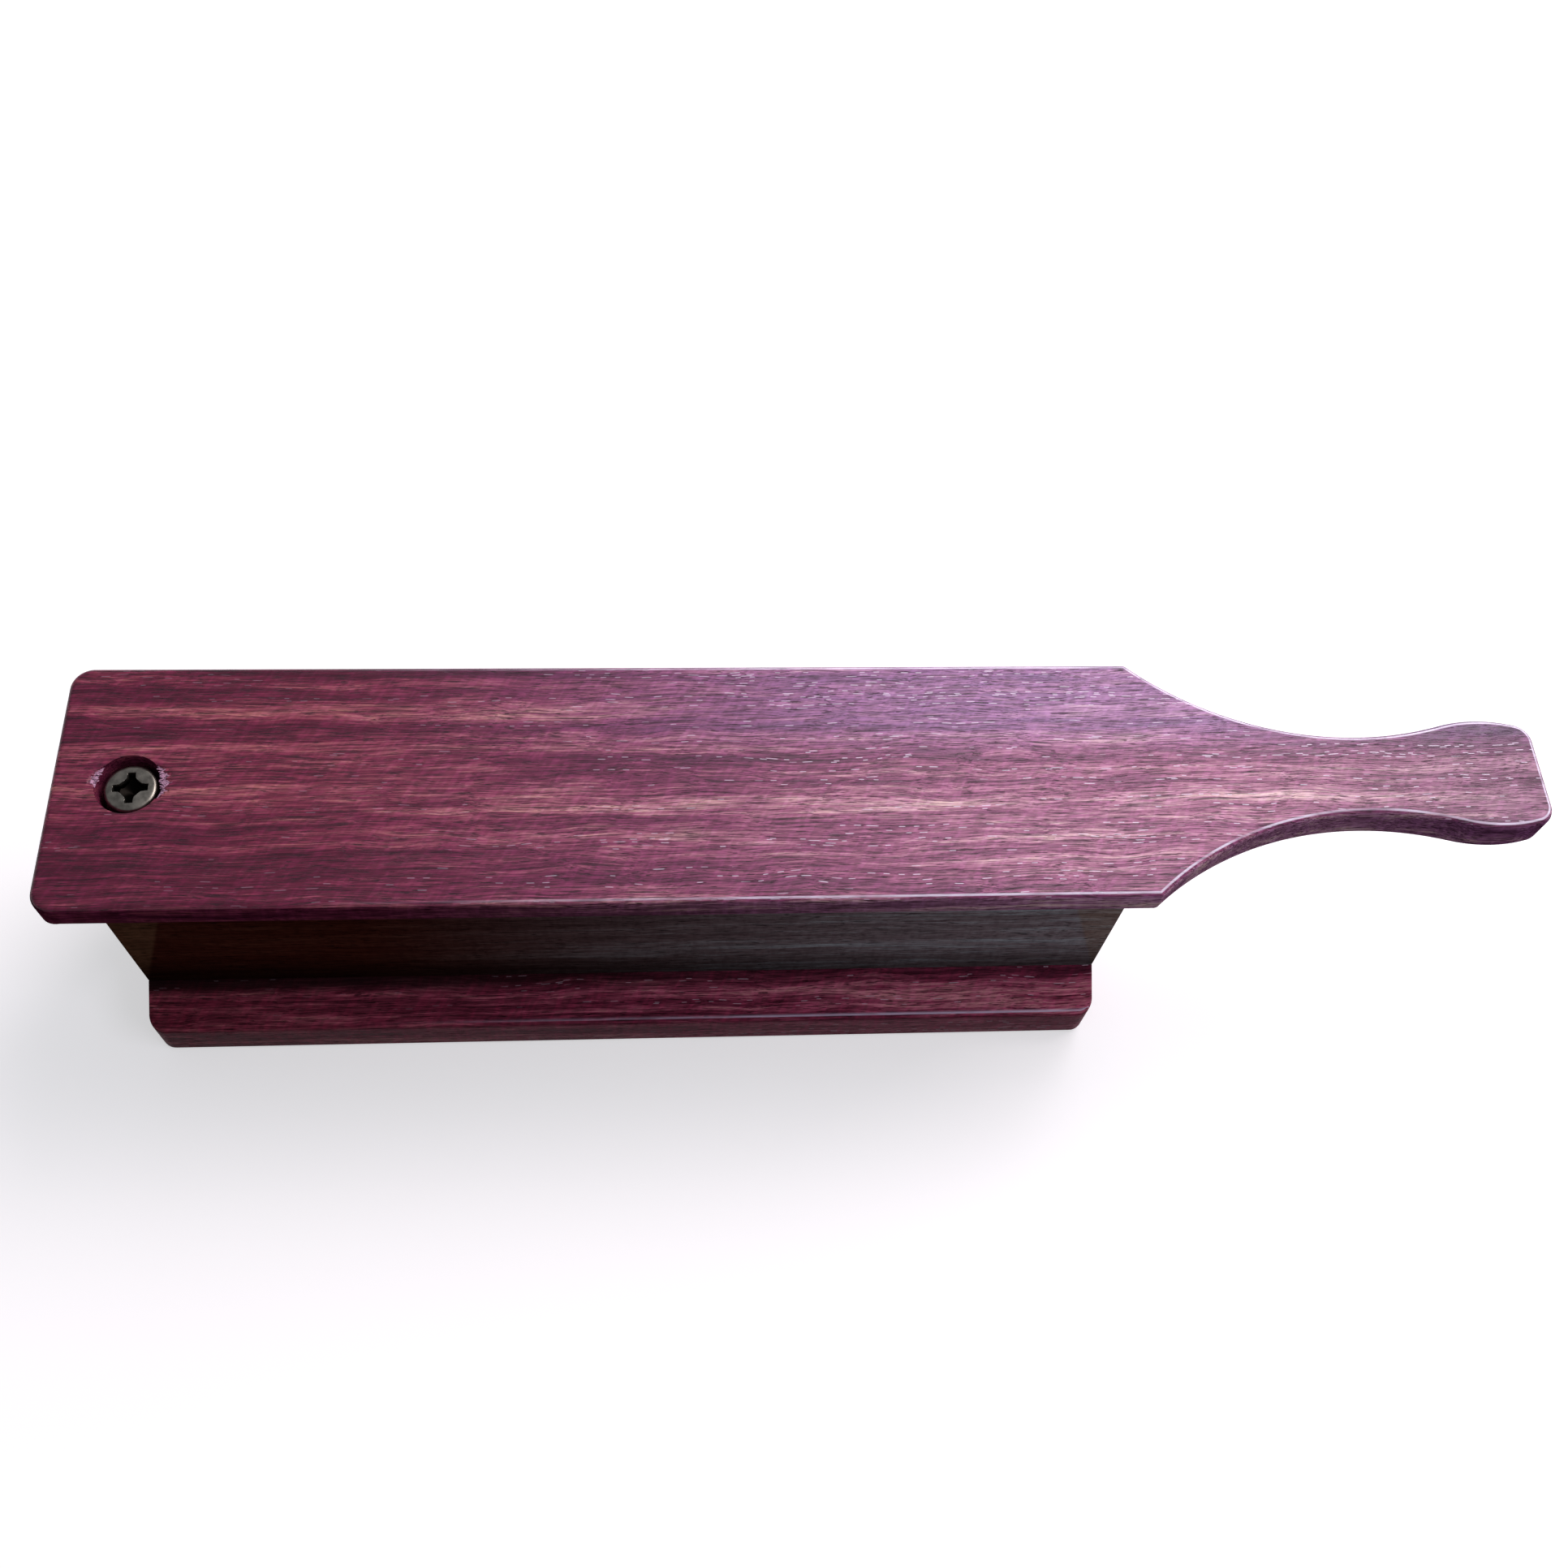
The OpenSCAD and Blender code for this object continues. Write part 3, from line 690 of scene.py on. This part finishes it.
# %% Finish of oiled wood
def oiled_wood(name, streaks, line_colour, pale_colour, streak_width=6.0, contrast=2.2,
               line_depth=0.6, dust_and_glints=0.5, ripple=0.4, roughness=0.42, shine=0.3, coat=0.1,
               seed=0.0, painted_sheen=None, violet=None, rosy=0.0, painted_highlight_colour=None, torn_colour=None,
               painted_reflection_colour=None, foot=0.0, painted_crease_shade=False):
    """streaks is a list of (place, hex). A noise on coordinates divided by a length and a width
    has features of about that size, in millimetres. painted_sheen is the factor by which each
    channel grows towards the handle, a painted sheen, with the two places where that begins and
    ends, violet the tint of the far edge there, rosy the lift of the middle streaks, which also
    paints a fall of light towards the pivot end, painted_highlight_colour the colour of the
    painted highlight on the rounded upper edges, painted_reflection_colour that of the reflection
    painted into the front board's corners, foot the height at which a board stands, just above
    which shade is painted, and painted_crease_shade says whether shade is painted on the ledge
    along the board."""
    material = bpy.data.materials.new(name)
    add = empty_tree(material)
    line_paint, pale_paint = linear(line_colour), linear(pale_colour)
    raw = add("TexCoord", out=3)
    along, across, height = add("SeparateXYZ", (raw,)).node.outputs
    place = add("Mapping", (raw, (seed, seed * 0.37, seed * 0.61)))
    # Slow drift of the fibres, so that no line runs dead straight
    drift = add("VectorMath", (place, (9, 20, 20)), **times)
    drift = add("TexNoise", {0: drift, "Detail": 1.0}, out=1)
    drift = add("VectorMath", (drift, (0.5, 0.5, 0.5)), operation="SUBTRACT")
    place = add("VectorMath", (drift, (0.0, 0.0024, 0.0024), place), **times_plus)

    def grain(length, width, detail=2.0, rough=0.5, shift=0.0):
        """Noise whose features are length x width x width millimetres."""
        scale = (1 / (length * MM), 1 / (width * MM), 1 / (width * MM))
        at = add("VectorMath", (place, scale, (shift, shift, shift)), **times_plus)
        return add("TexNoise", {0: at, "Scale": 1.0, "Detail": detail, "Roughness": rough})

    def towards_handle(start, end, first=0.0, last=1.0):
        """Goes smoothly from first to last between two places along the box, in millimetres."""
        return add("MapRange", (along, start * MM, end * MM, first, last), **smooth)

    def layer(under, paint, *shares, kind="MIX"):
        """Lays a colour over another, as far as the product of the shares says."""
        share = shares[0]
        for other in shares[1:]:
            share = add("Math", (share, other), **times)
        return add("Mix", {0: share, 6: under, 7: paint}, out=2, data_type="RGBA", blend_type=kind)

    fine = grain(10.0, 0.42, detail=3.0, rough=0.7, shift=7.0)
    middle = grain(42.0, 1.5, rough=0.6, shift=3.0)
    slow = grain(170.0, streak_width)
    tone = 0.5 - 0.5 * contrast
    for noise, weight in ((fine, 0.34), (middle, 0.30), (slow, 0.36)):
        tone = add("Math", (noise, weight * contrast, tone), **times_plus)
    if rosy:
        off_middle = add("Math", (across, 2 * MM), operation="ADD")
        off_middle = add("Math", (off_middle,), **distance)
        middle_band = add("MapRange", (off_middle, 4 * MM, 13 * MM, rosy, 0.0), **smooth)
        # Painted light: the tone falls towards the pivot end and the rosy band is lifted more
        # towards the handle, following the painted sheen
        tone = add("Math", (tone, towards_handle(-30, 105, -0.45 * rosy, 0.0)), operation="ADD")
        tone = add("Math", (middle_band, towards_handle(-30, 105, 0.2, 0.8), tone), **times_plus)
    colour = colour_steps(add("ValToRGB", (tone,)), streaks)
    if violet:
        far_side = add("MapRange", (across, 3 * MM, 15 * MM), **smooth)
        colour = layer(colour, linear(violet), far_side, towards_handle(-60, 60, 0.0, 0.35))
    if painted_sheen:
        # Painted sheen: each channel grows paler towards the handle
        growth, start, end = painted_sheen
        colour = layer(colour, (*growth, 1), towards_handle(start, end), kind="MULTIPLY")
        # Painted shade at the tip: the painted sheen is darkened again there
        colour = layer(colour, linear("#b79fbc"), towards_handle(115, 195), kind="MULTIPLY")
    if painted_reflection_colour:
        # Painted reflection in the front board's corners, paler: wide at the lip, narrowing to
        # nothing at its foot
        inward = 0.33
        line = box_end + base_thickness * inward
        reach = add("Math", (height, inward, add("Math", (along,), **distance)), **times_plus)
        corner = add("MapRange", (reach, (line - 0.5) * MM, (line + 0.5) * MM), **smooth)
        front = add("MapRange", (across, 0.0, -MM), **smooth)
        colour = layer(colour, linear(painted_reflection_colour), corner, front,
                       towards_handle(-100, 100, 0.20, 0.36))
    if foot:
        # Painted shade in the corner over the ledge, darkest at the board's foot
        painted_foot_shade = add("MapRange", (height, foot + 16 * MM, foot), **smooth)
        colour = layer(colour, line_paint, painted_foot_shade, towards_handle(-100, 100, 0.85, 0.65))
    if painted_crease_shade:
        # The same painted shade lies on the ledge along the board, less of it towards the handle
        off_middle = add("Math", (across,), **distance)
        outer = add("MapRange", (off_middle, 26.0 * MM, 23.4 * MM), **smooth)
        inner = add("MapRange", (off_middle, 21.3 * MM, 22.3 * MM), **smooth)
        colour = layer(colour, linear("#0c0504"), outer, inner,
                       towards_handle(-60, 100, 0.92, 0.20))

    lines = grain(7.5, 0.24, detail=3.0, rough=0.65, shift=11.0)
    lines = add("MapRange", (lines, 0.53, 0.66), **smooth)
    long_lines = add("MapRange", (grain(18.0, 0.36, shift=19.0), 0.54, 0.66), **smooth)
    colour = layer(colour, line_paint, long_lines, 0.75 * line_depth)
    colour = layer(colour, line_paint, lines, line_depth)
    if ripple:
        # Faint slanting ripple where the fibres rise and fall, about 2 mm from crest to crest
        slant = add("Mapping", {0: place, 2: (0.0, 0.0, np.radians(32.0))})
        scale = (1 / (1.1 * MM), 1 / (4.5 * MM), 1 / (4.5 * MM))
        slant = add("VectorMath", (slant, scale), **times)
        wave = add("TexNoise", {0: slant, "Scale": 1.0, "Detail": 1.0})
        wave = add("MapRange", (wave, 0.42, 0.68), **smooth)
        colour = layer(colour, pale_paint, wave, ripple, kind="SOFT_LIGHT")

    short_pores = add("MapRange", (grain(3.2, 0.17, detail=1.0, shift=13.0), 0.62, 0.67), **smooth)
    long_pores = add("MapRange", (grain(9.0, 0.22, detail=1.0, shift=29.0), 0.66, 0.70), **smooth)
    pores = add("Math", (short_pores, long_pores), operation="MAXIMUM")
    colour = layer(colour, line_paint, pores, 0.8)

    if dust_and_glints:
        # Pores packed with pale sanding dust, and towards the handle painted glints where pores
        # catch the light. Each cell of 0.3 x 3.0 mm holds at most one straight stroke. On a slope
        # the rows follow the surface, so they are counted down the slope too
        def cell(value):
            """Number of the cell that a value lies in, and the distance from the cell's middle."""
            number = add("Math", (value,), operation="FLOOR")
            middle = add("Math", (number, 0.5), operation="ADD")
            off = add("Math", (value, middle), operation="SUBTRACT")
            return number, add("Math", (off,), **distance)

        def luck(number):
            """One fixed random number for each cell."""
            at = add("CombineXYZ", (row, column, number))
            return add("TexWhiteNoise", (at,), noise_dimensions="3D")

        def row_luck(number):
            return add("TexWhiteNoise", {1: number}, noise_dimensions="1D")

        px, py, pz = add("SeparateXYZ", (place,)).node.outputs
        outward = add("Math", (across,), operation="SIGN")
        down = add("Math", (pz, -0.83), **times)
        down = add("Math", (down, outward, py), **times_plus)
        row, off_row = cell(add("Math", (down, 1 / (0.3 * MM)), **times))
        shifted = add("Math", (row_luck(row), 9.0), **times)
        column, off_column = cell(add("Math", (px, 1 / (3.0 * MM), shifted), **times_plus))
        shorter = add("Math", (luck(7.0), 1.3, 0.9), **times_plus)
        off_column = add("Math", (off_column, shorter), **times)
        # Some rows hold many strokes and most hold none, because the pores run on along the grain.
        # A slow noise gathers them, and there are more of them towards the handle, where they are
        # painted glints
        rich = towards_handle(-70, 90, 0.655, 0.655 + 0.075 * dust_and_glints)
        rich_row = row_luck(add("Math", (row, 0.37), operation="ADD"))
        for chance in (grain(30.0, 2.6, detail=1.0, shift=41.0), rich_row, luck(41.0)):
            rich = add("Math", (chance, 0.5, rich), **times_plus)
        filled = add("MapRange", (rich, 1.80, 1.85), **smooth)
        thin = add("MapRange", (off_row, 0.34, 0.20), **smooth)
        short = add("MapRange", (off_column, 0.44, 0.26), **smooth)
        colour = layer(colour, pale_paint, thin, short, filled,
                       towards_handle(-70, 80, 0.15, 0.85))

    if painted_highlight_colour:
        # Painted highlight on the upper edges: a bright line where the surface begins to turn over,
        # most of all on the handle's half, and painted shade below it
        lean = add("Attribute", attribute_name="lean", out=2)
        painted_edge_shade = add("MapRange", (lean, 0.72, 0.50), **smooth)
        colour = layer(colour, line_paint, painted_edge_shade, 0.45)
        lower = add("MapRange", (lean, 0.84, 0.90), **smooth)
        upper = add("MapRange", (lean, 0.990, 0.970), **smooth)
        patches = add("MapRange", (grain(14.0, 4.0, shift=67.0), 0.30, 0.55, 0.35, 1.0), **smooth)
        share = add("Math", (towards_handle(-70, 80, 0.0, 0.95), patches), **times)
        broken = add("Math", (fine, 1.4, 0.3), **times_plus)
        share = add("Math", (share, broken), use_clamp=True, **times)
        colour = layer(colour, linear(painted_highlight_colour), lower, upper, share)

    rough, relief = roughness, 0.0
    for hollow, dullness, drop in ((lines, 0.08, -0.5), (pores, 0.25, -1.0)):
        rough = add("Math", (hollow, dullness, rough), **times_plus)
        relief = add("Math", (hollow, drop, relief), **times_plus)

    if torn_colour:
        # Broken fibres scatter the light: pale, matt and rough
        shred = grain(0.8, 0.28, detail=3.0, rough=0.7, shift=53.0)
        ragged = add("Math", (shred, -1.0, 0.05), **times_plus)
        tear = add("Attribute", attribute_name="torn", out=2)
        tear = add("Math", (tear, 1.6, ragged), **times_plus)
        tear = add("MapRange", (tear, 0.0, 0.25), **smooth)
        colour = layer(colour, linear(torn_colour), tear)
        # Painted shade between the shreds
        between = add("MapRange", (shred, 0.52, 0.62), **smooth)
        colour = layer(colour, line_paint, tear, between)
        rough = add("Math", (tear, 0.4, rough), **times_plus)
        relief = add("Math", (shred, add("Math", (tear, 4.0), **times), relief), **times_plus)

    bump = add("Bump", {"Strength": 0.8, "Distance": 0.05 * MM, "Height": relief})
    shader = add("BsdfPrincipled", {
        "Base Color": colour, "Roughness": rough, "Normal": bump, "IOR": 1.5,
        "Specular IOR Level": shine, "Coat Weight": coat, "Coat Roughness": 0.25})
    add("OutputMaterial", (shader,))
    return material

# %% [markdown]
# Purpleheart is brown when cut and turns violet in the light. The lid shows both: wine-purple
# streaks with rosy and tan ones between them, and more violet on the far edge of its handle's half.
# The base board is a darker piece of it. The side boards are dark walnut. Lid, base and boards are
# painted paler towards the handle, a painted sheen, and the front board has a paler painted
# reflection in the corner at each end.

# %% Purpleheart and walnut
lid_wood = dict(
    streaks=[(0.22, "#4e142b"), (0.40, "#6a213b"), (0.52, "#83354a"), (0.64, "#9e545e"),
             (0.80, "#c68379")],
    line_colour="#260816", pale_colour="#efe2f4", line_depth=0.82, dust_and_glints=1.0, ripple=0.5,
    seed=0.3, painted_sheen=((1.65, 2.85, 3.15), -75, 95), violet="#8a5a7c", rosy=0.10,
    painted_highlight_colour="#f2e8fa", torn_colour="#cfa3bd")
lid_finish = oiled_wood("oiled_purpleheart_lid", roughness=0.38, shine=0.40, coat=0.10, **lid_wood)
# The sawn and sanded walls of the lid drank the oil, so they hardly shine. Their darker streaks
# are painted shade, and their stronger paling towards the handle is painted sheen
lid_wall_finish = oiled_wood(
    "sanded_purpleheart_walls", roughness=0.6, shine=0.0, coat=0.0,
    **dict(lid_wood, dust_and_glints=0.0, painted_highlight_colour=None, painted_sheen=((4.0, 13.0, 8.5), -60, 110),
           streaks=[(0.30, "#441527"), (0.54, "#63253b"), (0.84, "#8c464f")]))
# The base board is painted paler towards the handle, a painted sheen, and shade is painted on its
# ledges along the side boards
base_wood = dict(
    streaks=[(0.28, "#491623"), (0.46, "#702837"), (0.58, "#8d414d"), (0.76, "#b46e6b")],
    line_colour="#260a12", pale_colour="#e0c4d2", streak_width=5.0, line_depth=0.6, dust_and_glints=0.35,
    ripple=0.9, seed=1.7, painted_sheen=((1.62, 1.85, 2.2), -150, 90), painted_highlight_colour="#dcc8e0", painted_crease_shade=True)
base_finish = oiled_wood("oiled_purpleheart_base", roughness=0.5, shine=0.04, coat=0.0, **base_wood)
# The walnut boards are painted paler and bluer towards the handle, a painted sheen, with a painted
# reflection in the front board's corners and painted shade over the ledge
board_finish = oiled_wood(
    "oiled_walnut_boards", [(0.30, "#30100b"), (0.50, "#451e16"), (0.72, "#5f362a")],
    "#0c0504", "#8c7a80", streak_width=9.0, contrast=1.2, line_depth=0.4, dust_and_glints=0.0, ripple=0.3,
    roughness=0.5, shine=0.0, coat=0.0, seed=2.9, painted_sheen=((5.0, 19.0, 32.0), -60, 100),
    painted_reflection_colour="#9a7a58", foot=base_thickness * MM)
block_finish = oiled_wood(
    "walnut_end_blocks", [(0.30, "#3c2b21"), (0.50, "#574334"), (0.72, "#74604c")],
    "#20150f", "#9a8876", streak_width=8.0, contrast=1.6, line_depth=0.4, dust_and_glints=0.0, ripple=0.2,
    roughness=0.5, shine=0.1, coat=0.0, seed=4.1)
base_end_finish = oiled_wood("sanded_purpleheart_ends", shine=0.0, coat=0.0, roughness=0.65,
                             **dict(base_wood, dust_and_glints=0.0, painted_highlight_colour=None, painted_crease_shade=False,
                                    painted_sheen=((1.5, 2.0, 2.2), -130, 130)))
for made, finish in (
        (lid, lid_finish), (splinters, lid_finish), (base, base_finish),
        (front_board, board_finish), (rear_board, board_finish),
        (pivot_block, block_finish), (handle_block, block_finish)):
    dress(made, finish)
dress_part(lid, lid_wall_finish, lambda normals: normals[:, 2] < 0.6)
dress_part(base, base_end_finish, lambda normals: np.abs(normals[:, 0]) > 0.6)

# %% [markdown]
# Stainless steel. The head was turned, so very fine rings run round it, and handling has left
# faint clouds. The rings are a noise of the distance from the screw's axis. The spring is drawn
# wire: a little brighter, with faint lines along it.

# %% Steel of the screw and the spring
def turned_steel(name, colour, dull, roughness, ring_width):
    material = bpy.data.materials.new(name)
    add = empty_tree(material)
    place = add("TexCoord", out=3)
    centred = add("VectorMath", (place, (screw_x * MM, 0.0, 0.0)), operation="SUBTRACT")
    flat = add("VectorMath", (centred, (1.0, 1.0, 0.0)), **times)
    reach = add("VectorMath", (flat,), operation="LENGTH", out=1)
    reach = add("Math", (reach, 1 / (ring_width * MM)), **times)
    rings = add("TexNoise", {1: reach, "Scale": 1.0, "Detail": 2.0}, noise_dimensions="1D")
    clouds = add("TexNoise", {0: place, "Scale": 1 / (1.6 * MM), "Detail": 4.0, "Roughness": 0.6})
    tone = colour_steps(add("ValToRGB", (clouds,)), [(0.35, dull), (0.62, colour)])
    # Painted shade deep in the recess
    recess_shade = add("Attribute", attribute_name="recess_shade", out=2)
    tone = add("Mix", {0: recess_shade, 6: tone, 7: linear("#0f0d0b")}, out=2, data_type="RGBA")
    rough = add("Math", (clouds, 0.16, roughness - 0.14), **times_plus)
    rough = add("Math", (rings, 0.12, rough), **times_plus)
    bump = add("Bump", {"Strength": 0.25, "Distance": 0.01 * MM, "Height": rings})
    shader = add("BsdfPrincipled", {"Base Color": tone, "Metallic": 1.0, "Roughness": rough,
                                    "Normal": bump})
    add("OutputMaterial", (shader,))
    return material


dress(screw, turned_steel("turned_stainless_steel", "#aeab9e", "#89867c", 0.36, 0.12))
dress(spring, turned_steel("drawn_spring_steel", "#c3c2ba", "#9c9b94", 0.30, 0.08))
print(len(bpy.data.materials), "materials")

# %% [markdown]
# Floor, light and camera. The floor is plain and pale: what the camera, glossy and see-through
# rays meet is lifted towards white, while the shadow stays. One broad soft light stands behind the
# handle on the right, as a window did: it draws bright lines along the rounded edges and a cool
# sheen on the handle's half of the lid, which the finishes strengthen with painted highlights and
# a painted sheen.

# %% Floor and world
floor_mesh = bpy.data.meshes.new("studio_floor")
floor_half = 1.7
corners = [(-1, -1, 0), (1, -1, 0), (1, 1, 0), (-1, 1, 0)]
floor_mesh.from_pydata((np.array(corners) * floor_half).tolist(), [], [(0, 1, 2, 3)])
floor = bpy.data.objects.new("studio_floor", floor_mesh)
bpy.context.scene.collection.objects.link(floor)

floor_material = bpy.data.materials.new("pale_floor")
add = empty_tree(floor_material)
# Camera, glossy and transmission rays meet the lifted floor, and all other light the dim one
rays = add("LightPath").node.outputs
seen = add("Math", (rays["Is Glossy Ray"], rays["Is Transmission Ray"]), operation="MAXIMUM")
seen = add("Math", (seen, rays["Is Camera Ray"]), operation="MAXIMUM")
paper = add("BsdfDiffuse", {"Color": linear("#e9e9e9")})
lifted = add("AddShader", (paper, add("Emission", {"Color": linear("#ffffff"), "Strength": 0.5})))
dim_paper = add("BsdfDiffuse", {"Color": linear("#8c8c8c")})
add("OutputMaterial", (add("MixShader", (seen, dim_paper, lifted)),))
dress(floor, floor_material)

world = bpy.data.worlds.new("soft_room")
bpy.context.scene.world = world
add = empty_tree(world)
room = add("Background", {"Color": linear("#f2f4ff"), "Strength": 0.20})
white = add("Background", {"Color": linear("#ffffff"), "Strength": 1.0})
rays = add("LightPath").node.outputs
add("OutputWorld", (add("MixShader", (rays["Is Camera Ray"], room, white)),))

# %% Lamps
def softbox(name, place, target, size, power, colour):
    """Area lamp at a place, turned to a target, both in metres."""
    lamp = bpy.data.lights.new(name, "AREA")
    lamp.shape, lamp.size, lamp.size_y = "RECTANGLE", size[0], size[1]
    lamp.energy, lamp.color = power, linear(colour)[:3]
    made = bpy.data.objects.new(name, lamp)
    made.location = place
    made.rotation_euler = (Vector(target) - Vector(place)).to_track_quat("-Z", "Y").to_euler()
    bpy.context.scene.collection.objects.link(made)


softbox("window_light", (0.52, 0.46, 0.80), (0.05, 0.0, 0.05), (0.75, 0.75), 9.6, "#fdf0f6")
softbox("low_window", (0.35, 0.95, 0.32), (0.08, 0.0, 0.05), (1.1, 0.35), 3.2, "#f4f2ff")
softbox("ceiling_strip", (0.62, -0.34, 0.80), (0.10, 0.0, 0.04), (0.5, 0.12), 1.6, "#f6f0ff")

# %% [markdown]
# The camera stands where the photograph was taken from: above the box, a little to its near side,
# turned slightly towards the handle and tilted, with the lens of a phone. Its place and its three
# angles were found by matching the corners of the lid.

# %% Camera
eye = np.array([0.00828, -0.16026, 0.35472])
pitch, yaw, roll = 1.064206, 0.149547, 0.122247
look = np.array([np.sin(yaw) * np.cos(pitch), np.cos(yaw) * np.cos(pitch), -np.sin(pitch)])
level = np.array([np.cos(yaw), -np.sin(yaw), 0.0])
above_look = np.cross(level, look)
right = np.cos(roll) * level + np.sin(roll) * above_look
up = -np.sin(roll) * level + np.cos(roll) * above_look

lens = bpy.data.cameras.new("photo_camera")
lens.lens, lens.sensor_width = 37.42, 36.0
lens.clip_start = 0.01
camera = bpy.data.objects.new("photo_camera", lens)
rows = np.stack([right, up, -look, eye], axis=1).tolist()
camera.matrix_world = Matrix(rows + [[0, 0, 0, 1]])
bpy.context.scene.collection.objects.link(camera)
bpy.context.scene.camera = camera
bpy.context.scene.view_settings.view_transform = "Standard"
